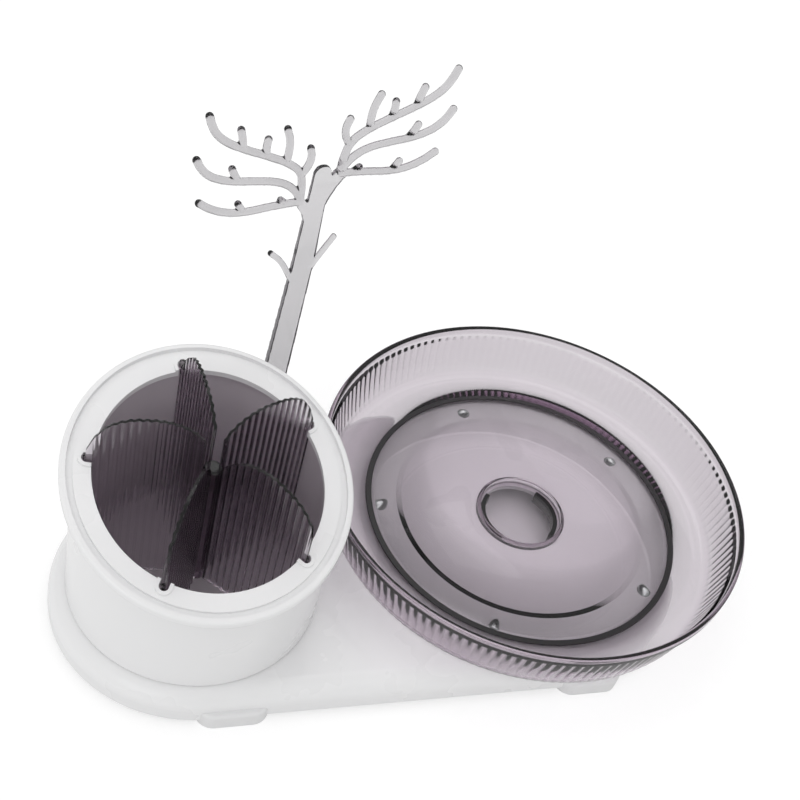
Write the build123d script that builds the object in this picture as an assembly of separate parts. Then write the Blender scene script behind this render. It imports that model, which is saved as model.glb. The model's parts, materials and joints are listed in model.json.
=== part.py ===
from build123d import *
import os
from math import asin, cos, degrees, radians, sin, sqrt, tan

# Rotating makeup organizer: a teardrop base that carries a spinning divided cup,
# a spinning round tray and a small jewelry tree. Millimetres, +Z up, front at -Y.
# The origin lies on the table, at the middle of the overall length and width.

# Clearances shared by all fits
running_gap = 0.3
seat_gap = 0.15
overrun = 1.0

# Plan: the tray and the cup stand side by side on a teardrop base
tray_rim_radius = 110.0
cup_radius = 58.1
lip_overhang = 4.8
cup_tray_gap = 2.5
base_margin = 7.4
tray_overhang = 16.0
lip_radius = cup_radius + lip_overhang
base_cup_end_radius = cup_radius + base_margin
base_tray_end_radius = tray_rim_radius - tray_overhang
axis_spacing = tray_rim_radius + cup_tray_gap + lip_radius
overall_length = base_cup_end_radius + axis_spacing + tray_rim_radius
tray_x = overall_length / 2 - tray_rim_radius
cup_x = tray_x - axis_spacing
taper_sin = (base_tray_end_radius - base_cup_end_radius) / axis_spacing
taper_cos = sqrt(1 - taper_sin ** 2)

# Base shell
foot_stand = 3.0
base_height = 15.4
base_wall = 2.2
base_edge_round = 9.0
base_bottom_z = foot_stand
base_top_z = base_bottom_z + base_height
base_skin_z = base_top_z - base_wall

# Bottom cover and its screws
cover_thickness = 2.0
cover_gap = 0.2
cover_screw_shank = 1.1
cover_screw_head = 2.8
cover_screw_head_height = 1.5
cover_screw_grip = 8.0
cover_boss_radius = 3.4
cover_boss_margin = 8.0
cover_screw_angles_cup_end = (130, 180, 230)
cover_screw_angles_tray_end = (75, 0, -75)
cover_top_z = base_bottom_z + cover_thickness

# Feet: rounded pads that grip the lower edge of the base
foot_length = 33.0
foot_depth = 8.0
foot_proud = 3.0
foot_height = 8.6
foot_round = 1.6
foot_cup_end_shift = 0.8
foot_tray_end_shift = 3.0
foot_cup_end_x = cup_x + foot_cup_end_shift
foot_tray_end_x = tray_x - foot_tray_end_shift

# Bearing balls, the same in both turntables
ball_radius = 3.2
ball_socket_wall = 1.9
raceway_width = 13.5
raceway_depth = 0.5

# Tray
tray_gap = 2.0
tray_height = 31.1
tray_floor = 2.0
tray_wall = 2.2
tray_flare = 4.5
tray_rim_step = 1.6
tray_rim_band = 4.9
tray_rim_thickness = 2.8
tray_rim_round = 1.35
tray_foot_round = 6.0
tray_wall_top_radius = tray_rim_radius - tray_rim_step
tray_foot_radius = tray_wall_top_radius - tray_flare
tray_underside_z = base_top_z + tray_gap
tray_floor_z = tray_underside_z + tray_floor
tray_rim_z = tray_underside_z + tray_height
tray_band_z = tray_rim_z - tray_rim_band

# Dark ring let into the tray's floor, and the ball track under it
floor_ring_inset = 20.8
floor_ring_width = 3.2
floor_ring_seat = 1.0
floor_ring_rise = 0.4
floor_ring_gap = 0.05
floor_ring_round = 0.5
tray_ball_inset = 11.4
floor_ring_radius = tray_foot_radius - floor_ring_inset
tray_ball_circle = floor_ring_radius - tray_ball_inset

# Tray hub: a well in the floor that turns in the base
well_radius = 21.7
well_wall = 1.8
well_depth = 3.6
hub_boss_wall = 3.6
hub_lip_height = 2.4
hub_lip_drop = 0.6
well_outer_radius = well_radius + well_wall
well_floor_z = tray_floor_z - well_depth
well_underside_z = well_floor_z - tray_floor
hub_bore_radius = well_outer_radius + running_gap
hub_lip_top_z = well_underside_z - hub_lip_drop
hub_lip_bottom_z = hub_lip_top_z - hub_lip_height

# Snap clips that hold the tray down
clip_inset = 1.1
clip_thickness = 2.2
clip_arc_angle = 92.0
clip_angles = (170, -10)
clip_hook = 1.9
clip_hook_height = 2.0
clip_gap = 0.5
clip_outer_radius = well_radius - clip_inset
hub_lip_radius = clip_outer_radius + running_gap
clip_hook_top_z = hub_lip_bottom_z - clip_gap
clip_bottom_z = clip_hook_top_z - clip_hook_height

# Cup housing
cup_gap = 0.5
cup_height = 71.1
cup_wall = 2.0
cup_floor = 2.0
mouth_tilt = 16.6
lip_bead_width = 2.7
lip_bead_rise = 0.9
lip_drop = 3.4
lip_groove_depth = 1.1
lip_round = 1.3
cup_ball_inset = 14.1
cup_ball_circle = cup_radius - cup_ball_inset
cup_underside_z = base_top_z + cup_gap
cup_floor_z = cup_underside_z + cup_floor
mouth_z = cup_underside_z + cup_height
mouth_slope = tan(radians(mouth_tilt))

# Mouth collar with its five notches
compartments = 5
first_notch_angle = 90.0
collar_shoulder = 0.8
collar_width = 7.5
collar_thickness = 2.6
collar_flange = 1.1
collar_plug_gap = 0.2
notch_width = 4.2
notch_depth = 4.4
notch_rim_wall = 1.5
notch_rim_rise = 1.0
collar_outer_radius = cup_radius - collar_shoulder
collar_inner_radius = collar_outer_radius - collar_width
notch_radius = collar_inner_radius + notch_depth
notch_angles = [first_notch_angle - k * 360 / compartments for k in range(compartments)]

# Tinted inner cup
liner_gap = 1.2
liner_wall = 1.6
liner_floor = 1.4
liner_floor_gap = 0.4
liner_outer_radius = cup_radius - cup_wall - liner_gap
liner_inner_radius = liner_outer_radius - liner_wall
liner_bottom_z = cup_floor_z + liner_floor_gap
liner_floor_z = liner_bottom_z + liner_floor

# Cup pivot, stacked up from the bottom cover
pivot_radius = 6.0
pivot_boss_wall = 3.5
pivot_head_room = 1.5
pivot_tail = 0.4
washer_radius = 9.5
washer_thickness = 1.5
pivot_screw_shank = 1.5
pivot_screw_head = 3.4
pivot_screw_head_height = 1.8
pivot_screw_length = 8.0
washer_bottom_z = cover_top_z + pivot_head_room + pivot_screw_head_height
pivot_bottom_z = washer_bottom_z + washer_thickness
pivot_boss_bottom_z = pivot_bottom_z + pivot_tail

# Divider insert: a column and five fluted blades
column_radius = 4.1
column_rise = 7.0
column_dome = 1.5
blade_gap = 0.9
blade_thickness = 1.5
blade_lift = 0.3
flute_pitch = 3.4
flute_height = 0.35
tab_width = 2.4
tab_gap = 0.7
tab_inset = 1.0
tab_rise = 2.6
tab_drop = 2.2
blade_radius = liner_inner_radius - blade_gap
column_top_z = mouth_z + column_rise
divider_bottom_z = liner_floor_z + blade_lift
# Top outline of the blades: arcs through three points, each a distance from the
# mouth's axis as a share of the blade radius, and a height as a share of the crown's
crown_height = 27.9
crown_arc_shares = [
    ((0.0, 0.233), (0.027, 0.247), (0.05, 0.287)),
    ((0.05, 0.287), (0.118, 0.609), (0.238, 0.86)),
    ((0.238, 0.86), (0.42, 1.0), (0.611, 0.989)),
    ((0.611, 0.989), (0.782, 0.896), (0.897, 0.738)),
    ((0.897, 0.738), (0.985, 0.412), (1.023, 0.0)),
]

# Jewelry tree
tree_place_share = 0.6998
tree_edge_inset = 13.85
tree_turn = 5.2
trunk_height = 185.2
trunk_thickness = 4.0
trunk_tip_thickness = 2.0
trunk_foot_width = 14.2
trunk_bend_width = 10.2
trunk_tip_width = 8.0
trunk_foot_lean = 6.15
trunk_bend_lean = 0.6
trunk_bend_share = 0.7239
tang_width = 8.6
tang_depth = 9.0
socket_wall = 2.0
socket_floor = 1.5
tree_x = tray_x - tree_place_share * axis_spacing
tree_edge_y = (base_tray_end_radius + taper_sin * (tree_x - tray_x)) / taper_cos
tree_y = tree_edge_y - tree_edge_inset
trunk_top_z = base_top_z + trunk_height
tang_bottom_z = base_top_z - tang_depth

# Branches and twigs: places up the trunk as shares of its height, and paths from
# the trunk's axis as shares of the reach
branch_reach = 56.4
rod_radius = 1.75
peg_radius = 1.65
twig_radius = 1.4
rod_bend_share = 0.45
left_junction_share = 0.9191
right_junction_share = 0.986
left_twig_share = 0.677
right_twig_share = 0.6983
left_fork_shares = [
    (0.0, -0.286), (0.086, -0.222), (0.111, -0.154), (0.149, -0.102), (0.175, -0.047),
    (0.136, 0.011), (0.089, -0.048), (0.072, -0.021), (0.0, -0.021),
]
right_fork_shares = [
    (0.0, -0.411), (0.07, -0.329), (0.1, -0.24), (0.138, -0.157), (0.204, -0.057), (0.154, 0.029),
    (0.107, -0.011), (0.072, -0.054), (0.0, -0.054),
]
upper_path_shares = [
    (0.143, -0.018), (0.156, 0.129), (0.19, 0.229), (0.275, 0.304), (0.447, 0.39), (0.644, 0.474),
    (0.791, 0.551), (0.875, 0.626), (0.918, 0.699), (0.945, 0.773),
]
upper_peg_shares = [
    [(0.175, 0.202), (0.129, 0.283), (0.118, 0.358), (0.136, 0.429)],
    [(0.313, 0.329), (0.306, 0.426), (0.315, 0.517), (0.347, 0.612)],
    [(0.478, 0.406), (0.487, 0.487), (0.483, 0.542)],
    [(0.667, 0.483), (0.678, 0.556), (0.701, 0.642)],
]
middle_path_shares = [
    (0.154, 0.0), (0.208, 0.072), (0.268, 0.122), (0.358, 0.161), (0.528, 0.191), (0.689, 0.211),
    (0.801, 0.24), (0.891, 0.286), (0.959, 0.356), (1.0, 0.429),
]
middle_peg_shares = [
    [(0.665, 0.209), (0.707, 0.281), (0.726, 0.322)],
]
lower_path_shares = [
    (0.154, -0.041), (0.358, -0.054), (0.599, -0.073), (0.725, -0.057), (0.85, -0.007),
    (0.943, 0.057),
]
lower_peg_shares = [
    [(0.25, -0.047), (0.302, -0.007)],
    [(0.59, -0.073), (0.64, 0.007)],
]
left_twig_path_shares = [
    (0.093, 0.0), (0.132, 0.072), (0.168, 0.136), (0.216, 0.204), (0.263, 0.252), (0.304, 0.29),
]
right_twig_path_shares = [
    (0.054, 0.0), (0.086, 0.066), (0.215, 0.299),
]


def teardrop(inset=0.0):
    """Outline of the base: the hull of its two round ends, drawn in by inset."""
    small = base_cup_end_radius - inset
    large = base_tray_end_radius - inset
    corners = [
        (cup_x - small * taper_sin, -small * taper_cos),
        (tray_x - large * taper_sin, -large * taper_cos),
        (tray_x - large * taper_sin, large * taper_cos),
        (cup_x - small * taper_sin, small * taper_cos),
    ]
    ends = Pos(cup_x) * Circle(small) + Pos(tray_x) * Circle(large)
    return ends + Polygon(*corners, align=None)


def prism(sketch, bottom, top):
    """The sketch extruded between two heights."""
    return extrude(Pos(0, 0, bottom) * sketch, amount=top - bottom)


def disc(x, radius, bottom, top, y=0.0):
    """A round plate or pin on a vertical axis."""
    return prism(Pos(x, y) * Circle(radius), bottom, top)


def tube(x, outer, inner, bottom, top):
    """A round wall on a vertical axis."""
    return prism(Pos(x) * (Circle(outer) - Circle(inner)), bottom, top)


def polar(x, radius, angle):
    """Place at a radius and angle about a vertical axis."""
    return (x + radius * cos(radians(angle)), radius * sin(radians(angle)))


def under_mouth(offset=0.0):
    """Everything below the slanted mouth plane, moved up or down by offset."""
    size = 4 * mouth_z
    block = Box(size, size, size, align=(Align.CENTER, Align.CENTER, Align.MAX))
    return Pos(cup_x, 0, mouth_z + offset) * Rot(mouth_tilt, 0, 0) * block


def slanted_ring(outer, inner, low, high):
    """A vertical ring round the cup axis, cut by the mouth plane at two offsets."""
    wall = tube(cup_x, outer, inner, base_top_z, mouth_z + 2 * outer)
    return (wall & under_mouth(high)) - under_mouth(low)


def ring_sector(x, outer, inner, angle, span, bottom, top):
    """A slice of a round wall, centred on an angle."""
    reach = 2 * outer
    half = radians(span / 2)
    wedge = Polygon((0, 0), (reach * cos(half), -reach * sin(half)),
                    (reach, 0), (reach * cos(half), reach * sin(half)), align=None)
    face = (Circle(outer) - Circle(inner)) & wedge
    return prism(Pos(x) * Rot(0, 0, angle) * face, bottom, top)


def rod(points, radius):
    """A round bar with rounded ends that follows the points in the XZ plane."""
    corners = [Vector(x, 0, z) for x, z in points]
    if len(corners) == 2:
        path = Line(*corners)
    else:
        radii = []
        for before, here, after in zip(corners, corners[1:], corners[2:]):
            turn = radians((here - before).get_angle(after - here))
            run = min((here - before).length, (after - here).length)
            radii.append(rod_bend_share * run / tan(turn / 2))
        path = FilletPolyline(*corners, radius=radii)
    section = Plane(origin=path @ 0, z_dir=path % 0) * Circle(radius)
    bar = sweep(section, path=path)
    for end in (corners[0], corners[-1]):
        bar = bar + Pos(end.X, end.Y, end.Z) * Sphere(radius)
    return bar


# Places that several pieces share
tray_ball_z = tray_underside_z + raceway_depth - running_gap - ball_radius
cup_ball_z = cup_underside_z + raceway_depth - running_gap - ball_radius
tray_ball_places = [polar(tray_x, tray_ball_circle, a) for a in notch_angles]
cup_ball_places = [polar(cup_x, cup_ball_circle, a) for a in notch_angles]
tree_place = Pos(tree_x, tree_y) * Rot(0, 0, tree_turn)
tang_place = tree_place * Pos(-trunk_foot_lean)
screw_places = [polar(cup_x, base_cup_end_radius - cover_boss_margin, a)
                for a in cover_screw_angles_cup_end]
screw_places += [polar(tray_x, base_tray_end_radius - cover_boss_margin, a)
                 for a in cover_screw_angles_tray_end]


def base_shell():
    """Upper moulding of the base with its bosses, bores, ball sockets and tree socket."""
    body = prism(teardrop(), base_bottom_z, base_top_z)
    body = fillet(body.faces().sort_by(Axis.Z)[-1].edges(), base_edge_round)
    cavity = prism(teardrop(base_wall), base_bottom_z - overrun, base_skin_z)
    cavity = fillet(cavity.faces().sort_by(Axis.Z)[-1].edges(), base_edge_round - base_wall)
    body = body - cavity
    # Hub boss with an inner lip under the tray's well
    body += disc(tray_x, hub_bore_radius + hub_boss_wall, hub_lip_bottom_z, base_skin_z)
    # Boss of the cup's pivot
    body += disc(cup_x, pivot_radius + running_gap + pivot_boss_wall, pivot_boss_bottom_z, base_skin_z)
    # Bosses of the ball sockets
    socket = ball_radius + seat_gap
    for places, height in ((tray_ball_places, tray_ball_z), (cup_ball_places, cup_ball_z)):
        for x, y in places:
            body += disc(x, socket + ball_socket_wall, height - socket - ball_socket_wall, base_skin_z, y)
    # Bosses of the cover's screws
    for x, y in screw_places:
        body += disc(x, cover_boss_radius, cover_top_z, base_skin_z, y)
    # Socket of the tree
    outer_x = tang_width + 2 * (running_gap + socket_wall)
    outer_y = trunk_thickness + 2 * (running_gap + socket_wall)
    block = prism(Rectangle(outer_x, outer_y), tang_bottom_z - running_gap - socket_floor, base_skin_z)
    body += tang_place * block
    # Cuts
    body -= disc(tray_x, hub_bore_radius, hub_lip_top_z, base_top_z + overrun)
    body -= disc(tray_x, hub_lip_radius, hub_lip_bottom_z - overrun, base_top_z)
    body -= disc(cup_x, pivot_radius + running_gap, pivot_boss_bottom_z - overrun, base_top_z + overrun)
    for places, height in ((tray_ball_places, tray_ball_z), (cup_ball_places, cup_ball_z)):
        for x, y in places:
            body -= Pos(x, y, height) * Sphere(socket)
            body -= disc(x, socket, height, base_top_z + overrun, y)
    for x, y in screw_places:
        body -= disc(x, cover_screw_shank, base_bottom_z, cover_top_z + cover_screw_grip + overrun, y)
    pocket = prism(Rectangle(tang_width + 2 * running_gap, trunk_thickness + 2 * running_gap),
                   tang_bottom_z - running_gap, base_top_z + overrun)
    body -= tang_place * pocket
    return body


def bottom_cover():
    """Flat plate that closes the base from below."""
    plate = prism(teardrop(base_wall + cover_gap), base_bottom_z, cover_top_z)
    for x, y in screw_places:
        plate -= disc(x, cover_screw_shank, base_bottom_z - overrun, cover_top_z + overrun, y)
    return plate


def cover_screws():
    """Pan-head screws of the bottom cover, one group."""
    screws = []
    for x, y in screw_places:
        head = disc(x, cover_screw_head, base_bottom_z - cover_screw_head_height, base_bottom_z, y)
        shank = disc(x, cover_screw_shank, base_bottom_z, cover_top_z + cover_screw_grip, y)
        screws.append(head + shank)
    return Compound(children=screws)


def foot(x, side):
    """Rounded pad on the straight front (side -1) or back (side +1) edge of the base."""
    edge_y = side * (base_tray_end_radius + taper_sin * (x - tray_x)) / taper_cos
    inward = foot_depth - foot_proud
    pad = prism(SlotOverall(foot_length, 2 * foot_depth), 0, foot_height)
    pad = fillet(pad.faces().sort_by(Axis.Z)[-1].edges(), foot_round)
    pad = Rot(0, 0, side * degrees(asin(taper_sin))) * pad
    pad = Pos(x + inward * taper_sin, edge_y - side * inward * taper_cos) * pad
    return pad - prism(teardrop(), base_bottom_z, base_top_z)


def balls(places, height):
    """Bearing balls on their circle, one group."""
    return Compound(children=[Pos(x, y, height) * Sphere(ball_radius) for x, y in places])


def tray():
    """Round tray with a flared wall, a rim band and a hub well in its floor."""
    inner_foot = tray_foot_radius - tray_wall
    rim_inner = tray_rim_radius - tray_rim_thickness
    outline = Plane.XZ * Polygon(
        (0, tray_underside_z), (tray_foot_radius, tray_underside_z),
        (tray_wall_top_radius, tray_band_z - tray_rim_step), (tray_rim_radius, tray_band_z),
        (tray_rim_radius, tray_rim_z), (rim_inner, tray_rim_z),
        (inner_foot, tray_floor_z), (0, tray_floor_z), align=None)
    body = revolve(outline, Axis.Z)
    rounds = body.edges().filter_by(GeomType.CIRCLE)
    near = (tray_underside_z - seat_gap, tray_underside_z + seat_gap)
    outer_foot_edge = rounds.filter_by_position(Axis.Z, *near)
    body = fillet(outer_foot_edge.sort_by(SortBy.RADIUS)[-1:], tray_foot_round)
    rounds = body.edges().filter_by(GeomType.CIRCLE)
    inner_foot_edge = rounds.filter_by_position(Axis.Z, tray_floor_z - seat_gap, tray_floor_z + seat_gap)
    body = fillet(inner_foot_edge.sort_by(SortBy.RADIUS)[-1:], tray_foot_round - tray_wall / 2)
    rounds = body.edges().filter_by(GeomType.CIRCLE)
    rim_edges = rounds.filter_by_position(Axis.Z, tray_rim_z - seat_gap, tray_rim_z + seat_gap)
    body = fillet(rim_edges, tray_rim_round)
    # Hub well
    body -= disc(0, well_radius, tray_underside_z - overrun, tray_floor_z + overrun)
    body += tube(0, well_outer_radius, well_radius, well_underside_z, tray_underside_z)
    body += disc(0, well_radius, well_underside_z, well_floor_z)
    # Groove of the floor ring and raceway
    body -= tube(0, floor_ring_radius, floor_ring_radius - floor_ring_width,
                 tray_floor_z - floor_ring_seat, tray_floor_z + overrun)
    body -= raceway(0, tray_ball_circle, tray_underside_z)
    body = Pos(tray_x) * body
    for angle in clip_angles:
        body -= ring_sector(tray_x, clip_outer_radius, clip_outer_radius - clip_thickness,
                            angle, clip_arc_angle, well_underside_z - overrun, well_floor_z + overrun)
    return body


def raceway(x, circle, face_z):
    """Shallow ball track cut up into an underside."""
    half = raceway_width / 2
    return tube(x, circle + half, circle - half, face_z - overrun, face_z + raceway_depth)


def floor_ring():
    """Soft dark ring that sits in the groove of the tray's floor."""
    outer = floor_ring_radius - floor_ring_gap
    inner = floor_ring_radius - floor_ring_width + floor_ring_gap
    ring = tube(tray_x, outer, inner, tray_floor_z - floor_ring_seat, tray_floor_z + floor_ring_rise)
    return fillet(ring.faces().sort_by(Axis.Z)[-1].edges(), floor_ring_round)


def tray_clips():
    """Two hooked arcs that reach through the base's hub, one group."""
    clips = []
    for angle in clip_angles:
        inner = clip_outer_radius - clip_thickness
        arm = ring_sector(tray_x, clip_outer_radius, inner, angle, clip_arc_angle, clip_bottom_z, well_floor_z)
        hook = ring_sector(tray_x, clip_outer_radius + clip_hook, inner, angle, clip_arc_angle,
                           clip_bottom_z, clip_hook_top_z)
        clips.append(arm + hook)
    return Compound(children=clips)


def cup_housing():
    """White outer cup: wall, floor, pivot and the rolled lip of the slanted mouth."""
    wall = tube(cup_x, cup_radius, cup_radius - cup_wall, cup_underside_z, mouth_z + cup_radius)
    body = wall & under_mouth(-lip_drop + overrun)
    body += disc(cup_x, cup_radius, cup_underside_z, cup_floor_z)
    lip = slanted_ring(lip_radius, cup_radius - cup_wall, -lip_drop, lip_bead_rise)
    lip = fillet(lip.edges().sort_by(SortBy.LENGTH)[-2:], lip_round)
    lip -= slanted_ring(lip_radius - lip_bead_width, cup_radius - cup_wall - overrun,
                        -lip_groove_depth, lip_bead_rise + overrun)
    body += lip
    body += disc(cup_x, pivot_radius, pivot_bottom_z, cup_underside_z)
    body -= disc(cup_x, pivot_screw_shank, pivot_bottom_z - overrun,
                 pivot_bottom_z + pivot_screw_length - washer_thickness)
    body -= raceway(cup_x, cup_ball_circle, cup_underside_z)
    return body


def notch_shape(extra):
    """Rounded radial slot of the collar, grown all round by extra."""
    half = notch_width / 2 + extra
    centre = notch_radius - notch_width / 2
    start = collar_inner_radius - notch_width
    bar = Pos((start + centre) / 2) * Rectangle(centre - start, 2 * half)
    return bar + Pos(centre) * Circle(half)


def at_notch(angle, shape):
    """Turn a shape about the cup's axis to a notch."""
    return Pos(cup_x) * Rot(0, 0, angle) * shape


def mouth_collar():
    """White ring in the mouth with a raised rim round each notch."""
    body = slanted_ring(collar_outer_radius, collar_inner_radius, -collar_flange, 0)
    plug_radius = cup_radius - cup_wall - collar_plug_gap
    body += slanted_ring(plug_radius, collar_inner_radius, -collar_thickness, -collar_flange)
    low = mouth_z - 2 * collar_outer_radius * mouth_slope
    high = mouth_z + 2 * collar_outer_radius * mouth_slope
    band = slanted_ring(collar_outer_radius, collar_inner_radius, -collar_flange, notch_rim_rise)
    for angle in notch_angles:
        body += at_notch(angle, prism(notch_shape(notch_rim_wall), low, high)) & band
    for angle in notch_angles:
        body -= at_notch(angle, prism(notch_shape(0), low, high))
    return body


def inner_cup():
    """Tinted liner that hangs inside the housing."""
    wall = tube(cup_x, liner_outer_radius, liner_inner_radius, liner_bottom_z, mouth_z + cup_radius)
    body = wall & under_mouth(-collar_thickness)
    return body + disc(cup_x, liner_outer_radius, liner_bottom_z, liner_floor_z)


def pivot_washer():
    """Washer that keeps the cup on the base."""
    return tube(cup_x, washer_radius, pivot_screw_shank, washer_bottom_z, pivot_bottom_z)


def pivot_screw():
    """Screw that holds the washer to the cup's pivot."""
    head = disc(cup_x, pivot_screw_head, washer_bottom_z - pivot_screw_head_height, washer_bottom_z)
    return head + disc(cup_x, pivot_screw_shank, washer_bottom_z, washer_bottom_z + pivot_screw_length)


def divider_column():
    """Round post with a slightly domed top."""
    post = disc(cup_x, column_radius, divider_bottom_z, column_top_z)
    return fillet(post.faces().sort_by(Axis.Z)[-1].edges(), column_dome)


def crown():
    """Solid under the petal-shaped top of all blades, turned about the mouth's own axis."""
    arcs = [[(r * blade_radius, h * crown_height) for r, h in arc] for arc in crown_arc_shares]
    petal = [ThreePointArc(*arc) for arc in arcs]
    skirt = 2 * cup_radius
    depth = 2 * mouth_z
    shelf = Polyline(arcs[-1][-1], (skirt, 0), (skirt, -depth), (0, -depth), arcs[0][0])
    face = Plane.XZ * make_face(petal + [shelf])
    return Pos(cup_x, 0, mouth_z) * Rot(mouth_tilt, 0, 0) * revolve(face, Axis.Z)


def fluted_plate():
    """Wavy plate from the column to the cup's wall, standing on the X axis."""
    waves = int((blade_radius - column_radius) / flute_pitch * 2)
    half_pitch = (blade_radius - column_radius + overrun) / waves
    start = column_radius - overrun
    edges = []
    for side in (-1, 1):
        offset = side * blade_thickness / 2
        for k in range(waves):
            bulge = flute_height if k % 2 else -flute_height
            a = start + k * half_pitch
            edges.append(ThreePointArc((a, offset), (a + half_pitch / 2, offset + bulge),
                                       (a + half_pitch, offset)))
    end = start + waves * half_pitch
    edges.append(Line((start, -blade_thickness / 2), (start, blade_thickness / 2)))
    edges.append(Line((end, -blade_thickness / 2), (end, blade_thickness / 2)))
    return prism(make_face(edges), divider_bottom_z, mouth_z + cup_radius)


def divider_blade(angle, plate, envelope, column):
    """One fluted blade with the tab that hangs in its notch."""
    body = at_notch(angle, plate) & envelope
    start = collar_inner_radius + tab_inset
    end = notch_radius - tab_gap
    tab = Pos((start + end) / 2) * Rectangle(end - start, tab_width)
    tab = at_notch(angle, prism(tab, base_top_z, mouth_z + cup_radius))
    tab = (tab & under_mouth(tab_rise)) - under_mouth(-tab_drop)
    return body + tab - column


def tree_trunk():
    """Flat leaning trunk with a rounded top, a fork on either side and a tang in the base."""
    tip = trunk_tip_width / 2
    tip_z = trunk_top_z - tip
    bend = trunk_bend_width / 2
    bend_z = base_top_z + trunk_bend_share * trunk_height
    foot_end = trunk_foot_width / 2
    front = Polygon(
        (-foot_end - trunk_foot_lean, base_top_z), (foot_end - trunk_foot_lean, base_top_z),
        (bend - trunk_bend_lean, bend_z), (tip, tip_z), (-tip, tip_z),
        (-bend - trunk_bend_lean, bend_z), align=None)
    front += Pos(0, tip_z) * Circle(tip)
    front += Polygon(*on_tree(right_fork_shares, 1, right_junction_share), align=None)
    front += Polygon(*on_tree(left_fork_shares, -1, left_junction_share)[::-1], align=None)
    foot_half = trunk_thickness / 2
    tip_half = trunk_tip_thickness / 2
    side = Plane.YZ * Polygon(
        (-foot_half, base_top_z), (foot_half, base_top_z),
        (tip_half, trunk_top_z), (-tip_half, trunk_top_z), align=None)
    body = extrude(Plane.XZ * front, amount=trunk_thickness, both=True)
    body = body & extrude(side, amount=branch_reach, both=True)
    tang = prism(Rectangle(tang_width, trunk_thickness), tang_bottom_z, base_top_z)
    return tree_place * body + tang_place * tang


def on_tree(shares, side, height_share):
    """Path points on the left (side -1) or right (side +1) of the tree's axis."""
    root_z = base_top_z + height_share * trunk_height
    return [(side * x * branch_reach, root_z + z * branch_reach) for x, z in shares]


def branch(side, junction_share, main_path, pegs, neighbours):
    """One branch with its pegs, cut flush where it meets its neighbours."""
    body = rod(on_tree(main_path, side, junction_share), rod_radius)
    for path in pegs:
        body += rod(on_tree(path, side, junction_share), peg_radius)
    body = tree_place * body
    for neighbour in neighbours:
        body -= neighbour
    return body


def branch_set(side, name, junction_share, trunk):
    """The three branches on one side of the trunk, by name."""
    upper = branch(side, junction_share, upper_path_shares, upper_peg_shares, [trunk])
    middle = branch(side, junction_share, middle_path_shares, middle_peg_shares, [trunk, upper])
    lower = branch(side, junction_share, lower_path_shares, lower_peg_shares, [trunk, upper, middle])
    return {
        f"tree_{name}_upper_branch": upper,
        f"tree_{name}_middle_branch": middle,
        f"tree_{name}_lower_branch": lower,
    }


def twig(path, side, root_share, trunk):
    """Short single hook low on the trunk."""
    return tree_place * rod(on_tree(path, side, root_share), twig_radius) - trunk


def build():
    """All sub-parts by name."""
    parts = {
        "base_shell": base_shell(),
        "base_bottom_cover": bottom_cover(),
        "cover_screws": cover_screws(),
        "foot_front_cup_end": foot(foot_cup_end_x, -1),
        "foot_back_cup_end": foot(foot_cup_end_x, 1),
        "foot_front_tray_end": foot(foot_tray_end_x, -1),
        "foot_back_tray_end": foot(foot_tray_end_x, 1),
        "tray_bearing_balls": balls(tray_ball_places, tray_ball_z),
        "cup_bearing_balls": balls(cup_ball_places, cup_ball_z),
        "tray": tray(),
        "tray_floor_ring": floor_ring(),
        "tray_snap_clips": tray_clips(),
        "cup_housing": cup_housing(),
        "mouth_collar": mouth_collar(),
        "inner_cup": inner_cup(),
        "cup_pivot_washer": pivot_washer(),
        "cup_pivot_screw": pivot_screw(),
    }
    column = divider_column()
    plate = fluted_plate()
    envelope = crown()
    parts["divider_column"] = column
    for number, angle in enumerate(notch_angles, start=1):
        parts[f"divider_blade_{number}"] = divider_blade(angle, plate, envelope, column)
    trunk = tree_trunk()
    parts["tree_trunk"] = trunk
    parts.update(branch_set(-1, "left", left_junction_share, trunk))
    parts.update(branch_set(1, "right", right_junction_share, trunk))
    parts["tree_left_twig"] = twig(left_twig_path_shares, -1, left_twig_share, trunk)
    parts["tree_right_twig"] = twig(right_twig_path_shares, 1, right_twig_share, trunk)
    return parts


os.makedirs("parts", exist_ok=True)
for name, shape in build().items():
    export_step(shape, f"parts/{name}.step")
    print(name, "volume", round(shape.volume, 1))
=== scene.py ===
# %% [markdown]
# Rotating makeup organizer
#
# In this lesson a finished CAD model of a dressing-table organizer gets its looks:
# white glossy mouldings, smoky clear plastic with fine flutes, and small steel balls.
# The CAD model stays where it is. Pieces that only need a finish keep their mesh, and
# pieces whose surface carries fine detail are built again here, in the same place.

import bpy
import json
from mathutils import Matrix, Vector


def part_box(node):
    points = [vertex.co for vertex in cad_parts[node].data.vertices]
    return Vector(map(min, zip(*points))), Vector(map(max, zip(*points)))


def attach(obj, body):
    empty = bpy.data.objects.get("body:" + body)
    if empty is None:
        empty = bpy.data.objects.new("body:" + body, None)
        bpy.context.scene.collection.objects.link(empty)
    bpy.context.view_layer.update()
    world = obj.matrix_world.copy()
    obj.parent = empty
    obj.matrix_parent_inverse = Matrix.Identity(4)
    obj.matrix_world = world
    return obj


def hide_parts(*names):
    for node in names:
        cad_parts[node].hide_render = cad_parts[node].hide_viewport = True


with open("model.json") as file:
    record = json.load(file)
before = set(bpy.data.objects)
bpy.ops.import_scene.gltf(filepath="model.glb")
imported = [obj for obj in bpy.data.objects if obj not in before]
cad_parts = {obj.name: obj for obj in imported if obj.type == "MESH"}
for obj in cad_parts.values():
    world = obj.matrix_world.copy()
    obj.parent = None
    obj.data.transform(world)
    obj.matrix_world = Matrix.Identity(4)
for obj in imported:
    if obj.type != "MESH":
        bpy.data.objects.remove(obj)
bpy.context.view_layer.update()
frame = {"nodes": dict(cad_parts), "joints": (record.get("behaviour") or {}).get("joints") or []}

# %% Import the modules used below
import json
import math

import bmesh
import bpy
from mathutils import Matrix, Vector

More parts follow.
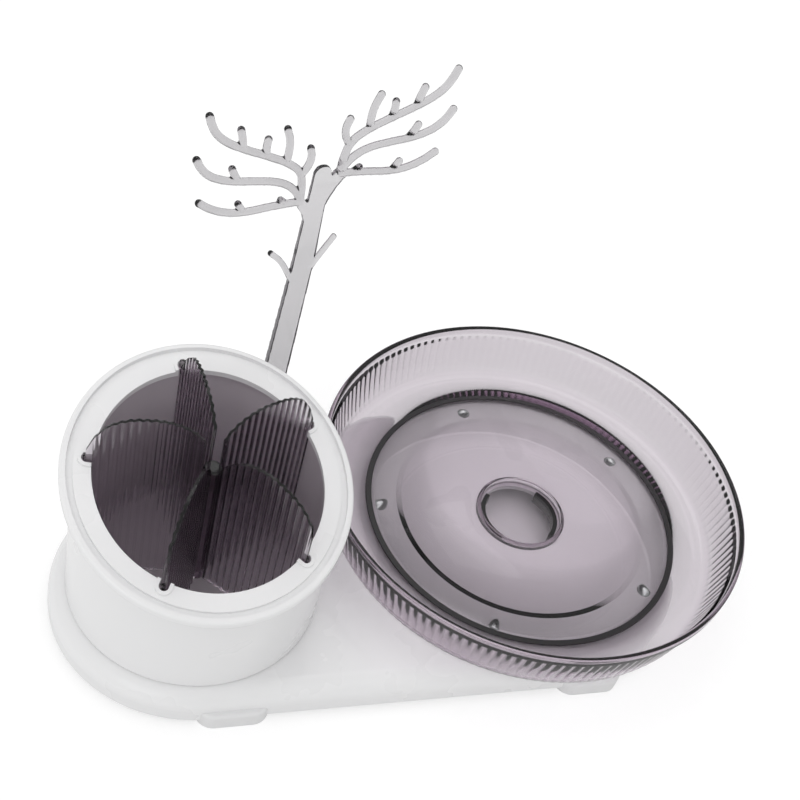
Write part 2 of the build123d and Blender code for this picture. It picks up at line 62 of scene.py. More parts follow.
mm = 0.001
print("lengths below are written in millimetres and multiplied by", mm)

# %% [markdown]
# The tray and the cup each turn about an upright axis. The tray and the blades built here are
# placed from those two axes, and the axes are read from the joints of the CAD model, so these
# looks can't drift away from the parts that move.

# %% Read the two turning axes
joints = {joint["name"]: joint for joint in frame["joints"]}
tray_axis = Vector(joints["tray_spin"]["pos_m"])
cup_axis = Vector(joints["cup_spin"]["pos_m"])
tray_low, tray_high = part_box("tray")
tray_radius = (tray_high.x - tray_low.x) / 2
print("tray axis x:", round(tray_axis.x, 4), "cup axis x:", round(cup_axis.x, 4))
print("tray radius:", round(tray_radius, 4))


# %% [markdown]
# A shader in Blender is a small graph of nodes. Writing each link by hand makes long
# code, so two helpers keep it short: one makes a node and sets its inputs, the other
# makes an empty material with a Principled BSDF. Lists of links then read like a recipe.

# %% Small helpers for node trees
def add_node(tree, kind, location=(0, 0), **settings):
    """Make a node; a setting is an attribute or the name of an input."""
    node = tree.nodes.new(kind)
    node.location = location
    for name, value in settings.items():
        label = name.replace("_", " ")
        if hasattr(node, name):
            setattr(node, name, value)
        else:
            node.inputs[label].default_value = value
    return node


def new_material(name):
    """An empty node material with its output, its Principled BSDF and its tree."""
    material = bpy.data.materials.new(name)
    material.use_nodes = True
    tree = material.node_tree
    tree.nodes.clear()
    output = add_node(tree, "ShaderNodeOutputMaterial", (600, 0))
    shader = add_node(tree, "ShaderNodeBsdfPrincipled", (300, 0))
    tree.links.new(shader.outputs["BSDF"], output.inputs["Surface"])
    return material, tree, shader, output


print("helpers ready")


# %% [markdown]
# No moulded plastic is perfectly even. The melt flows, cools and shrinks, which leaves
# faint clouds in the colour, a roughness that changes from place to place, and a skin
# that ripples by a few hundredths of a millimetre. One node group makes all three from
# noise in object space, so it needs no UV map, and every material places the group with
# its own amounts.

# %% Make the node group for moulded plastic
def group_socket(group, name, kind, way, default=None):
    """Add one named socket to a node group."""
    socket = group.interface.new_socket(name=name, in_out=way, socket_type=kind)
    if default is not None:
        socket.default_value = default


def moulded_plastic_group():
    """Colour clouds, roughness changes and a faint ripple, as one reusable group."""
    group = bpy.data.node_groups.new("Moulded plastic", "ShaderNodeTree")
    group_socket(group, "Color", "NodeSocketColor", "INPUT", (0.8, 0.8, 0.8, 1))
    group_socket(group, "Cloud Size", "NodeSocketFloat", "INPUT", 30.0)
    group_socket(group, "Cloud Amount", "NodeSocketFloat", "INPUT", 0.05)
    group_socket(group, "Roughness", "NodeSocketFloat", "INPUT", 0.3)
    group_socket(group, "Roughness Change", "NodeSocketFloat", "INPUT", 0.05)
    group_socket(group, "Ripple Size", "NodeSocketFloat", "INPUT", 120.0)
    group_socket(group, "Ripple Height", "NodeSocketFloat", "INPUT", 0.00003)
    group_socket(group, "Color", "NodeSocketColor", "OUTPUT")
    group_socket(group, "Roughness", "NodeSocketFloat", "OUTPUT")
    group_socket(group, "Normal", "NodeSocketVector", "OUTPUT")
    inside = add_node(group, "NodeGroupInput", (-900, 0))
    outside = add_node(group, "NodeGroupOutput", (700, 0))
    place = add_node(group, "ShaderNodeTexCoord", (-900, -300))
    clouds = add_node(group, "ShaderNodeTexNoise", (-600, 200), Detail=4.0)
    darker = add_node(group, "ShaderNodeMix", (100, 200), data_type="RGBA", blend_type="MULTIPLY")
    shade = add_node(group, "ShaderNodeMapRange", (-300, 200), To_Min=1.0, To_Max=0.0)
    spread = add_node(group, "ShaderNodeMapRange", (-300, -50), To_Min=-1.0, To_Max=1.0)
    scaled = add_node(group, "ShaderNodeMath", (-50, -50), operation="MULTIPLY")
    rough = add_node(group, "ShaderNodeMath", (150, -50), operation="ADD", use_clamp=True)
    ripple = add_node(group, "ShaderNodeTexNoise", (-600, -300), Detail=2.0)
    bump = add_node(group, "ShaderNodeBump", (300, -300), Strength=1.0)
    grey = add_node(group, "ShaderNodeCombineColor", (-100, 350))
    link = group.links.new
    link(place.outputs["Object"], clouds.inputs["Vector"])
    link(place.outputs["Object"], ripple.inputs["Vector"])
    link(inside.outputs["Cloud Size"], clouds.inputs["Scale"])
    link(inside.outputs["Ripple Size"], ripple.inputs["Scale"])
    link(clouds.outputs["Fac"], shade.inputs["Value"])
    link(clouds.outputs["Fac"], spread.inputs["Value"])
    for channel in ("Red", "Green", "Blue"):
        link(shade.outputs["Result"], grey.inputs[channel])
    link(inside.outputs["Cloud Amount"], darker.inputs["Factor"])
    link(inside.outputs["Color"], darker.inputs["A"])
    link(grey.outputs["Color"], darker.inputs["B"])
    link(spread.outputs["Result"], scaled.inputs[0])
    link(inside.outputs["Roughness Change"], scaled.inputs[1])
    link(scaled.outputs["Value"], rough.inputs[0])
    link(inside.outputs["Roughness"], rough.inputs[1])
    link(ripple.outputs["Fac"], bump.inputs["Height"])
    link(inside.outputs["Ripple Height"], bump.inputs["Distance"])
    link(darker.outputs["Result"], outside.inputs["Color"])
    link(rough.outputs["Value"], outside.inputs["Roughness"])
    link(bump.outputs["Normal"], outside.inputs["Normal"])
    return group


moulded_plastic = moulded_plastic_group()
print("group sockets:", [item.name for item in moulded_plastic.interface.items_tree])


# %% [markdown]
# The white mouldings are a glossy, opaque styrene plastic. A Principled shader with a
# near-white base, a low roughness and a thin clear coat gives the soft highlights along
# their rounded edges. The feet are the same plastic with a more satin surface.

# %% Make the opaque plastics
def place_group(tree, group, shader, **values):
    """Put a group in a material and feed the shader's colour, roughness and normal."""
    node = add_node(tree, "ShaderNodeGroup", (-100, 0))
    node.node_tree = group
    for name, value in values.items():
        node.inputs[name.replace("_", " ")].default_value = value
    tree.links.new(node.outputs["Color"], shader.inputs["Base Color"])
    tree.links.new(node.outputs["Roughness"], shader.inputs["Roughness"])
    tree.links.new(node.outputs["Normal"], shader.inputs["Normal"])
    return node


def opaque_plastic(name, color, roughness, coat):
    """Glossy or satin plastic that lets no light through."""
    material, tree, shader, output = new_material(name)
    shader.inputs["Coat Weight"].default_value = coat
    shader.inputs["Coat Roughness"].default_value = 0.08
    shader.inputs["IOR"].default_value = 1.5
    place_group(tree, moulded_plastic, shader, Color=(*color, 1), Cloud_Size=18.0, Cloud_Amount=0.015,
                Roughness=roughness, Roughness_Change=0.04, Ripple_Size=90.0, Ripple_Height=0.00001)
    return material


white_gloss = opaque_plastic("White gloss plastic", (0.86, 0.86, 0.865), 0.28, 0.5)
white_satin = opaque_plastic("White satin plastic", (0.8, 0.8, 0.805), 0.42, 0.2)
print("opaque plastics:", white_gloss.name, white_satin.name)


# %% [markdown]
# The tray, the inner cup, the dividers and the tree are one smoky clear plastic. Its
# colour isn't on the surface: light is absorbed along its way through the wall, so thin
# walls look pale mauve and a long way, as down through a rim, looks black. A clear
# shader with an absorbing volume does exactly that. The liner of the cup lies close to the
# white housing, so the light that passes it comes straight back through it. It looks like
# an even mauve surface, and a plain glossy plastic of that colour is enough for it.

# %% Make the smoky clear plastics
def smoky_plastic(name, tint, density, roughness):
    """Clear plastic whose volume absorbs light; density is per metre."""
    material, tree, shader, output = new_material(name)
    shader.inputs["Transmission Weight"].default_value = 1.0
    shader.inputs["IOR"].default_value = 1.5
    place_group(tree, moulded_plastic, shader, Color=(1, 1, 1, 1), Cloud_Size=25.0, Cloud_Amount=0.02,
                Roughness=roughness, Roughness_Change=0.02, Ripple_Size=60.0, Ripple_Height=0.00002)
    absorb = add_node(tree, "ShaderNodeVolumeAbsorption", (300, -400), Density=density)
    absorb.inputs["Color"].default_value = (*tint, 1)
    tree.links.new(absorb.outputs["Volume"], output.inputs["Volume"])
    return material


smoke_tint = (0.60, 0.505, 0.59)
cup_tint = (0.60, 0.515, 0.59)
smoky_clear = smoky_plastic("Smoky clear plastic", smoke_tint, 262.0, 0.03)
smoky_dark = smoky_plastic("Dark smoky plastic", cup_tint, 380.0, 0.06)
tree_clear = smoky_plastic("Clear grey plastic", (0.60, 0.585, 0.605), 300.0, 0.04)
liner_mauve = opaque_plastic("Smoky liner plastic", (0.66, 0.61, 0.65), 0.15, 0.3)
# The snap clips get an almost black colour: painted shade for the dark arcs where the hub's slots look
# into the shaded inside of the base.
clips_painted_shade = opaque_plastic("Clips painted as shade", (0.008, 0.007, 0.008), 0.4, 0.0)
ring_dark = opaque_plastic("Dark ring", (0.012, 0.010, 0.012), 0.3, 0.0)
print("clear plastics:", smoky_clear.name, smoky_dark.name, tree_clear.name, "liner:", liner_mauve.name)


# %% [markdown]
# The bearing balls and the screws are steel: fully metallic, with a roughness that
# changes a little, as ground and tumbled steel does.

# %% Make the steels
def steel(name, color, roughness):
    """Ground or plated steel."""
    material, tree, shader, output = new_material(name)
    shader.inputs["Metallic"].default_value = 1.0
    place_group(tree, moulded_plastic, shader, Color=(*color, 1), Cloud_Size=200.0, Cloud_Amount=0.15,
                Roughness=roughness, Roughness_Change=0.1, Ripple_Size=900.0, Ripple_Height=0.00001)
    return material


ball_steel = steel("Ball steel", (0.66, 0.72, 0.69), 0.3)
screw_steel = steel("Plated steel", (0.6, 0.6, 0.62), 0.35)
print("steels:", ball_steel.name, screw_steel.name)

# %% [markdown]
# Each CAD node now gets the finish of its real piece, apart from the snap clips, which are
# painted almost black as painted shade. Names that start alike share one, so a short table
# from the start of a name to a material is enough.

# %% Dress the CAD nodes
finish_of = {
    "base_": white_gloss,
    "foot_": white_satin,
    "cover_screws": screw_steel,
    "cup_pivot": screw_steel,
    "tray_bearing": ball_steel,
    "cup_bearing": ball_steel,
    "cup_housing": white_gloss,
    "mouth_collar": white_gloss,
    "inner_cup": liner_mauve,
    # painted shade: the snap clips are painted almost black
    "tray_snap": clips_painted_shade,
    "tray_floor_ring": ring_dark,
    "divider_": smoky_dark,
    "tree_": tree_clear,
}


def set_material(piece, material):
    """Give the whole piece one material."""
    piece.data.materials.clear()
    piece.data.materials.append(material)


for name, node in frame["nodes"].items():
    for start, material in finish_of.items():
        if name.startswith(start):
            set_material(node, material)
print("dressed", len(frame["nodes"]), "nodes")


# %% [markdown]
# The tray is a body of revolution, so its mesh is made as a potter or a lathe makes it:
# one outline of distance and height is turned about the axis. Two helpers do the work.
# One rounds the corners of an outline, and the other turns it, with a ripple in the
# radius where the outline asks for it.

# %% Helpers that round an outline and turn it
def rounded_outline(corners, steps=4):
    """Replace each corner (x, z, round, ripple) by points along an arc of that radius."""
    points = []
    count = len(corners)
    for index, (x, z, radius, ripple) in enumerate(corners):
        here = Vector((x, z))
        if radius == 0:
            points.append((x, z, ripple))
            continue
        before = Vector(corners[index - 1][:2]) - here
        after = Vector(corners[(index + 1) % count][:2]) - here
        angle = before.angle(after)
        run = radius / math.tan(angle / 2)
        start = here + before.normalized() * run
        end = here + after.normalized() * run
        halfway = (before.normalized() + after.normalized()).normalized()
        centre = here + halfway * (radius / math.sin(angle / 2))
        first = start - centre
        last = end - centre
        for k in range(steps + 1):
            share = k / steps
            mixed = first * (1 - share) + last * share
            place = centre + mixed.normalized() * radius
            points.append((place.x, place.y, ripple))
    return points


def turned_mesh(name, outline, axis, count, height=0.0, waves=0):
    """Turn a closed outline about an upright axis; ripples stand out by height."""
    grid = bmesh.new()
    rings = []
    for radius, z, ripple in outline:
        if radius == 0:
            rings.append([grid.verts.new((axis.x, axis.y, z * mm))])
            continue
        ring = []
        for k in range(count):
            angle = 2 * math.pi * k / count
            bulge = abs(math.sin(waves * angle / 2)) if waves else 0.0
            reach = (radius + ripple * height * bulge) * mm
            place = (axis.x + reach * math.cos(angle), axis.y + reach * math.sin(angle), z * mm)
            ring.append(grid.verts.new(place))
        rings.append(ring)
    for one, two in zip(rings, rings[1:] + rings[:1]):
        if len(one) == 1 and len(two) == 1:
            continue
        for k in range(count):
            near = k % len(one), (k + 1) % len(one)
            far = k % len(two), (k + 1) % len(two)
            corners = [one[near[0]], one[near[1]], two[far[1]], two[far[0]]]
            grid.faces.new(list(dict.fromkeys(corners)))
    bmesh.ops.recalc_face_normals(grid, faces=grid.faces)
    mesh = bpy.data.meshes.new(name)
    grid.to_mesh(mesh)
    grid.free()
    mesh.shade_smooth()
    piece = bpy.data.objects.new(name, mesh)
    bpy.context.scene.collection.objects.link(piece)
    return piece


print("turning helpers ready")

# %% [markdown]
# The wall of the tray is fluted outside: about 145 shallow rounded ribs that meet in
# sharp valleys, below a plain band at the rim. Light that enters a valley is turned
# away from the eye, and that draws the fine dark strokes of the real tray. Its floor has
# a groove for the dark ring, a shallow raceway below it for the balls, and a hub that
# snaps into the base.

# %% Turn the fluted tray
flutes = 145
flute_steps = 8
flute_height = 0.28
foot_radius, wall_top_radius, rim_radius = 103.9, 108.4, 110.0
tray_under, tray_floor, band_low, rim_top = 20.4, 22.4, 46.6, 51.5
hub_inside, hub_outside, hub_top, hub_under = 21.7, 23.5, 18.75, 16.8
groove_inside, groove_outside, groove_depth = 79.9, 83.1, 1.0
race_inside, race_outside, race_slope, race_depth = 63.4, 79.6, 3.0, 0.5
wall_inset, rim_thickness = 2.2, 2.4
inside_corners = [
    (0, hub_top, 0, 0), (hub_inside, hub_top, 0.4, 0), (hub_inside, tray_floor, 0.5, 0),
    (groove_inside, tray_floor, 0, 0), (groove_inside, tray_floor - groove_depth, 0, 0),
    (groove_outside, tray_floor - groove_depth, 0, 0), (groove_outside, tray_floor, 0, 0),
    (foot_radius - wall_inset, tray_floor, 4.9, 0), (wall_top_radius - 2.3, band_low - 1.6, 2.0, 0),
    (rim_radius - rim_thickness, band_low + 0.6, 2.0, 0), (rim_radius - rim_thickness, rim_top, 1.3, 0),
]
outside_corners = [
    (rim_radius, rim_top, 0.7, 0), (rim_radius, band_low, 0.5, 0),
    (wall_top_radius + 0.25, band_low - 0.9, 0.3, 0),
    (wall_top_radius, band_low - 1.6, 0, 1), (wall_top_radius - 2.3, 34.0, 0, 1),
    (foot_radius + 0.4, tray_under + 5.5, 0, 1), (foot_radius - 0.6, tray_under + 2.4, 0, 0.7),
    (foot_radius - wall_inset, tray_under + 0.7, 0, 0.3), (foot_radius - 5.5, tray_under, 2.0, 0),
]
underside_corners = [
    (race_outside, tray_under, 1.0, 0), (race_outside - 2.2, tray_under + race_depth, 1.0, 0),
    (race_inside + race_slope, tray_under + race_depth, 1.5, 0), (race_inside, tray_under, 1.5, 0),
    (hub_outside, tray_under, 0.3, 0), (hub_outside, hub_under, 0.5, 0), (0, hub_under, 0, 0),
]
tray_outline = inside_corners + outside_corners + underside_corners
tray_piece = turned_mesh("smoky_tray", rounded_outline(tray_outline), tray_axis, flutes * flute_steps,
                         flute_height, flutes)
set_material(tray_piece, smoky_clear)
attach(tray_piece, "tray")
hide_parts("tray")
print("tray faces:", len(tray_piece.data.polygons))

# %% [markdown]
# The divider insert has five petal-shaped blades. Each is a thin plate with fine
# upright waves, so it is made as a row of closed sections from the column outwards. The
# petal tops lie on one surface that is turned about the axis of the slanted mouth. Its
# profile is a chain of circular arcs, and each section is cut off where it meets it.

# %% Work out the petal's top
mouth_tilt = math.radians(16.6)
mouth_height = 90.0
blade_radius, crown_height = 52.4, 27.9
crown_arcs = [
    ((0.0, 0.233), (0.027, 0.247), (0.05, 0.287)), ((0.05, 0.287), (0.118, 0.609), (0.238, 0.86)),
    ((0.238, 0.86), (0.42, 1.0), (0.611, 0.989)), ((0.611, 0.989), (0.782, 0.896), (0.897, 0.738)),
    ((0.897, 0.738), (0.985, 0.412), (1.023, 0.0)),
]


def arc_through(first, middle, last, steps=12):
    """Points on the circular arc through three points."""
    a, b, c = (Vector((x * blade_radius, z * crown_height)) for x, z in (first, middle, last))
    turn = 2 * ((b - a).x * (c - a).y - (b - a).y * (c - a).x)
    ab, ac = (b - a).length_squared, (c - a).length_squared
    centre_x = ((c - a).y * ab - (b - a).y * ac) / turn
    centre_y = ((b - a).x * ac - (c - a).x * ab) / turn
    centre = a + Vector((centre_x, centre_y))
    start = math.atan2((a - centre).y, (a - centre).x)
    sweep = math.atan2((c - centre).y, (c - centre).x) - start
    sweep = (sweep + math.pi) % (2 * math.pi) - math.pi
    radius = (a - centre).length
    angles = [start + sweep * k / steps for k in range(steps + 1)]
    return [centre + radius * Vector((math.cos(angle), math.sin(angle))) for angle in angles]


crown_profile = [point for arc in crown_arcs for point in arc_through(*arc)]


def crown_at(distance):
    """Height of the petals over the mouth plane at a distance from the mouth's axis."""
    for one, two in zip(crown_profile, crown_profile[1:]):
        if one.x <= distance < two.x:
            return one.y + (two.y - one.y) * (distance - one.x) / (two.x - one.x)
    return crown_profile[0].y if distance < crown_profile[1].x else -1.0


def petal_top(reach, angle):
    """Height at which a blade ends, found by halving between two heights."""
    x, y = reach * math.cos(angle), reach * math.sin(angle)
    low, high = 0.0, 80.0
    start = y * math.tan(mouth_tilt)
    for step in range(40):
        z = start + (low + high) / 2
        side = y * math.cos(mouth_tilt) + z * math.sin(mouth_tilt)
        up = -y * math.sin(mouth_tilt) + z * math.cos(mouth_tilt)
        if up < crown_at(math.hypot(x, side)):
            low = (low + high) / 2
        else:
            high = (low + high) / 2
    return mouth_height + start + low


petal_heights = [petal_top(30.0, math.radians(turn)) for turn in (90, 18, -54, -126, -198)]
print("petal tops in mm:", [round(height, 1) for height in petal_heights])


# %% [markdown]
# A small tab at the outer end of each blade hangs in a notch of the white collar. It
# belongs to the same moulding, so the row of sections simply goes on: shorter and
# thicker sections follow the last one of the blade.

# %% Make the five blades
wave_pitch, wave_height = 3.4, 0.3
blade_half, blade_bevel = 0.75, 0.22
blade_foot = 23.0
column_radius, column_gap = 4.1, 0.04
tab_steps = ((52.45, 0.75), (52.6, 1.1), (53.3, 1.1), (53.45, 0.9))
tab_below, tab_above = 2.0, 2.6
notch_angles = [90, 18, -54, -126, -198]


def blade_section(grid, reach, angle, low, high, half):
    """One closed section of a blade: six corners across its thickness."""
    wave = wave_height * math.cos(2 * math.pi * reach / wave_pitch)
    corners = []
    for side, z in ((-half, low), (-half, high - blade_bevel), (-half + blade_bevel, high),
                    (half - blade_bevel, high), (half, high - blade_bevel), (half, low)):
        across = side + wave
        x = reach * math.cos(angle) - across * math.sin(angle)
        y = reach * math.sin(angle) + across * math.cos(angle)
        corners.append(grid.verts.new((cup_axis.x + x * mm, cup_axis.y + y * mm, z * mm)))
    return corners


def fluted_blade(name, degrees):
    """A blade with its tab, as one closed mesh."""
    angle = math.radians(degrees)
    grid = bmesh.new()
    sections = []
    steps = 200
    for k in range(steps + 1):
        reach = column_radius + column_gap + (blade_radius - column_radius - column_gap) * k / steps
        sections.append(blade_section(grid, reach, angle, blade_foot, petal_top(reach, angle), blade_half))
    for reach, half in tab_steps:
        level = mouth_height + reach * math.sin(angle) * math.tan(mouth_tilt)
        sections.append(blade_section(grid, reach, angle, level - tab_below, level + tab_above, half))
    for one, two in zip(sections, sections[1:]):
        for k in range(6):
            grid.faces.new([one[k], one[(k + 1) % 6], two[(k + 1) % 6], two[k]])
    grid.faces.new(sections[0])
    grid.faces.new(sections[-1])
    bmesh.ops.recalc_face_normals(grid, faces=grid.faces)
    mesh = bpy.data.meshes.new(name)
    grid.to_mesh(mesh)
    grid.free()
    mesh.shade_smooth()
    mesh.set_sharp_from_angle(angle=math.radians(38))
    piece = bpy.data.objects.new(name, mesh)
    bpy.context.scene.collection.objects.link(piece)
    return piece


for number, degrees in enumerate(notch_angles, start=1):
    blade = fluted_blade(f"fluted_blade_{number}", degrees)
    set_material(blade, smoky_dark)
    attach(blade, "divider")
    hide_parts(f"divider_blade_{number}")
print("blades:", len(notch_angles), "faces each:", len(blade.data.polygons))

# %% [markdown]
# The tree is one moulding: a flat trunk, rods that bend out of it and short pegs. Each
# rod starts as a curve with a round bevel. The rods and the trunk are then joined and
# remeshed with small voxels, which melts them into one skin with soft joints, as in a
# real moulding, where no clear plastic ends inside another.

# %% Gather the rods of the tree
tree_x, tree_y, tree_turn = -57.3, 61.2, math.radians(5.2)
tree_foot, tree_rise = 18.4, 185.2
branch_reach = 56.4
rod_radius, peg_radius, twig_radius = 1.75, 1.65, 1.4
left_junction, right_junction = 0.9191, 0.986
tree_voxel = 0.38
branch_rods = [
    [(0.143, -0.018), (0.156, 0.129), (0.19, 0.229), (0.275, 0.304), (0.447, 0.39), (0.644, 0.474),
     (0.791, 0.551), (0.875, 0.626), (0.918, 0.699), (0.945, 0.773)],
    [(0.154, 0.0), (0.208, 0.072), (0.268, 0.122), (0.358, 0.161), (0.528, 0.191), (0.689, 0.211),
     (0.801, 0.24), (0.891, 0.286), (0.959, 0.356), (1.0, 0.429)],
    [(0.154, -0.041), (0.358, -0.054), (0.599, -0.073), (0.725, -0.057), (0.85, -0.007), (0.943, 0.057)],
]
branch_pegs = [
    [(0.175, 0.202), (0.129, 0.283), (0.118, 0.358), (0.136, 0.429)],
    [(0.313, 0.329), (0.306, 0.426), (0.315, 0.517), (0.347, 0.612)],
    [(0.478, 0.406), (0.487, 0.487), (0.483, 0.542)],
    [(0.667, 0.483), (0.678, 0.556), (0.701, 0.642)],
    [(0.665, 0.209), (0.707, 0.281), (0.726, 0.322)],
    [(0.25, -0.047), (0.302, -0.007)],
    [(0.59, -0.073), (0.64, 0.007)],
]
twig_rods = [
    ([(0.093, 0.0), (0.132, 0.072), (0.168, 0.136), (0.216, 0.204), (0.263, 0.252), (0.304, 0.29)],
     -1, 0.677),
    ([(0.054, 0.0), (0.086, 0.066), (0.215, 0.299)], 1, 0.6983),
]


def tree_points(path, side, share):
    """Places of a path on the left (-1) or right (+1) of the tree's axis, in metres."""
    points = []
    for x, z in path:
        out = side * x * branch_reach
        points.append(Vector((
            tree_x + out * math.cos(tree_turn), tree_y + out * math.sin(tree_turn),
            tree_foot + share * tree_rise + z * branch_reach,
        )) * mm)
    return points


tree_rods = []
for side, share in ((-1, left_junction), (1, right_junction)):
    tree_rods += [(tree_points(path, side, share), rod_radius) for path in branch_rods]
    tree_rods += [(tree_points(path, side, share), peg_radius) for path in branch_pegs]
for path, side, share in twig_rods:
    tree_rods.append((tree_points(path, side, share), twig_radius))
print("rods and pegs:", len(tree_rods))


# %% Grow the tree as one skin
def rod_mesh(points, radius):
    """A smooth round rod through the points, with flat closed ends, as mesh data."""
    curve = bpy.data.curves.new("rod", "CURVE")
    curve.dimensions = "3D"
    curve.bevel_depth = radius * mm
    curve.bevel_resolution = 5
    curve.use_fill_caps = True
    spline = curve.splines.new("BEZIER")
    spline.resolution_u = 8
    spline.bezier_points.add(len(points) - 1)
    for knot, place in zip(spline.bezier_points, points):
        knot.co = place
        knot.handle_left_type = knot.handle_right_type = "AUTO"
    rod = bpy.data.objects.new("rod", curve)
    mesh = bpy.data.meshes.new_from_object(rod)
    bpy.data.objects.remove(rod)
    return mesh


def tree_skin():
    """Trunk, rods and round ends melted into one mesh."""
    grid = bmesh.new()
    for points, radius in tree_rods:
        mesh = rod_mesh(points, radius)
        grid.from_mesh(mesh)
        bpy.data.meshes.remove(mesh)
        for end in (points[0], points[-1]):
            bmesh.ops.create_uvsphere(grid, u_segments=20, v_segments=12, radius=radius * mm,
                                      matrix=Matrix.Translation(end))
    grid.from_mesh(frame["nodes"]["tree_trunk"].data)
    mesh = bpy.data.meshes.new("tree_parts")
    grid.to_mesh(mesh)
    grid.free()
    parts = bpy.data.objects.new("tree_parts", mesh)
    bpy.context.scene.collection.objects.link(parts)
    melt = parts.modifiers.new("melt", "REMESH")
    melt.mode = "VOXEL"
    melt.voxel_size = tree_voxel * mm
    soften = parts.modifiers.new("soften", "SMOOTH")
    soften.factor = 0.5
    soften.iterations = 3
    made = bpy.data.meshes.new_from_object(parts.evaluated_get(bpy.context.evaluated_depsgraph_get()))
    bpy.data.objects.remove(parts)
    made.name = "jewelry_tree"
    made.shade_smooth()
    piece = bpy.data.objects.new("jewelry_tree", made)
    bpy.context.scene.collection.objects.link(piece)
    return piece


tree = tree_skin()
set_material(tree, tree_clear)
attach(tree, "tree")
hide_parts(*[name for name in frame["nodes"] if name.startswith("tree_")])
print("tree faces:", len(tree.data.polygons))


# %% [markdown]
# The floor is a plain pale sheet that the camera sees as white, while it still receives
# the object's soft shadow. Part of its white is a glow, and the rest is lit by the lamps.
# Rays that reach it by a reflection or through the clear plastic see a weaker glow, and
# rays that only carry light from matt to matt surfaces see a plain pale sheet.

# %% Make the floor
floor_glow, camera_glow = 0.44, 0.14


def floor_material():
    """Pale floor that the camera sees white, and clear plastic a little darker."""
    material = bpy.data.materials.new("Pale floor")
    material.use_nodes = True
    tree = material.node_tree
    tree.nodes.clear()
    output = add_node(tree, "ShaderNodeOutputMaterial", (800, 0))
    diffuse = add_node(tree, "ShaderNodeBsdfDiffuse", (0, 100), Color=(0.5, 0.5, 0.5, 1))
    glow = add_node(tree, "ShaderNodeEmission", (0, -100), Color=(1.0, 1.0, 1.0, 1))
    glow_gain = add_node(tree, "ShaderNodeMath", (-150, -100), operation="MULTIPLY_ADD")
    glow_gain.inputs[1].default_value = camera_glow
    glow_gain.inputs[2].default_value = floor_glow
    both = add_node(tree, "ShaderNodeAddShader", (250, -50))
    path = add_node(tree, "ShaderNodeLightPath", (-300, 300))
    first = add_node(tree, "ShaderNodeMath", (0, 400), operation="MAXIMUM")
    seen = add_node(tree, "ShaderNodeMath", (250, 400), operation="MAXIMUM")
    pick = add_node(tree, "ShaderNodeMixShader", (550, 100))
    plain = add_node(tree, "ShaderNodeBsdfDiffuse", (0, -250), Color=(0.75, 0.75, 0.75, 1))
    link = tree.links.new
    link(path.outputs["Is Camera Ray"], glow_gain.inputs[0])
    link(glow_gain.outputs["Value"], glow.inputs["Strength"])
    link(path.outputs["Is Camera Ray"], first.inputs[0])
    link(path.outputs["Is Glossy Ray"], first.inputs[1])
    link(first.outputs["Value"], seen.inputs[0])
    link(path.outputs["Is Transmission Ray"], seen.inputs[1])
    link(diffuse.outputs["BSDF"], both.inputs[0])
    link(glow.outputs["Emission"], both.inputs[1])
    link(seen.outputs["Value"], pick.inputs["Fac"])
    link(plain.outputs["BSDF"], pick.inputs[1])
    link(both.outputs["Shader"], pick.inputs[2])
    link(pick.outputs["Shader"], output.inputs["Surface"])
    return material


floor_half = 4.0
corners = [(-floor_half, -floor_half, 0), (floor_half, -floor_half, 0),
           (floor_half, floor_half, 0), (-floor_half, floor_half, 0)]
floor_mesh = bpy.data.meshes.new("floor")
floor_mesh.from_pydata(corners, [], [(0, 1, 2, 3)])
floor = bpy.data.objects.new("floor", floor_mesh)
bpy.context.scene.collection.objects.link(floor)
set_material(floor, floor_material())
print("floor side:", 2 * floor_half, "m")

# %% [markdown]
# A white tent lights such small glossy things. It is bright overhead, where the large
# lamps stand behind its cloth, and dim near the table. Matt surfaces gather it from all
# around, so for them two smooth glows, from the upper left and from the front right, are
# enough. Clear surfaces show the tent itself, with the dim band near the table that draws
# dark lines in them. Reflections show one even tone, and camera rays see plain white.

# %% Make the world
even_light, reflected_light = 0.54, 0.6
horizon_light, overhead_light = 0.45, 1.65


def glow_from(sky, direction, place, aim, gain):
    """Light that is strongest from one direction and falls off with its cosine squared."""
    along = add_node(sky, "ShaderNodeVectorMath", place, operation="DOT_PRODUCT")
    along.inputs[1].default_value = Vector(aim).normalized()
    front = add_node(sky, "ShaderNodeMath", (place[0] + 200, place[1]), operation="MAXIMUM")
    front.inputs[1].default_value = 0.0
    square = add_node(sky, "ShaderNodeMath", (place[0] + 400, place[1]), operation="POWER")
    square.inputs[1].default_value = 2.0
    scaled = add_node(sky, "ShaderNodeMath", (place[0] + 600, place[1]), operation="MULTIPLY")
    scaled.inputs[1].default_value = gain
    sky.links.new(direction, along.inputs[0])
    sky.links.new(along.outputs["Value"], front.inputs[0])
    sky.links.new(front.outputs["Value"], square.inputs[0])
    sky.links.new(square.outputs["Value"], scaled.inputs[0])
    return scaled.outputs["Value"]


world = bpy.data.worlds.new("Studio")
bpy.context.scene.world = world
world.use_nodes = True
sky = world.node_tree
sky.nodes.clear()
sky_output = add_node(sky, "ShaderNodeOutputWorld", (1400, 0))
sky_place = add_node(sky, "ShaderNodeTexCoord", (-900, 0))
direction = sky_place.outputs["Generated"]
left_glow = glow_from(sky, direction, (-700, 300), (-0.75, -0.1, 0.66), 0.85)
right_glow = glow_from(sky, direction, (-700, 100), (0.66, -0.5, 0.4), 0.45)
both_glows = add_node(sky, "ShaderNodeMath", (150, 200), operation="ADD")
soft_light = add_node(sky, "ShaderNodeMath", (350, 200), operation="ADD")
soft_light.inputs[1].default_value = even_light
sky_height = add_node(sky, "ShaderNodeSeparateXYZ", (-700, -200))
tent = add_node(sky, "ShaderNodeMapRange", (-450, -200), From_Min=0.05, From_Max=0.45,
                To_Min=horizon_light, To_Max=overhead_light)
tent.interpolation_type = "SMOOTHSTEP"
matt_light = add_node(sky, "ShaderNodeBackground", (600, 200), Color=(0.88, 0.88, 0.88, 1))
clear_light = add_node(sky, "ShaderNodeBackground", (600, 0), Color=(1.0, 1.0, 1.0, 1))
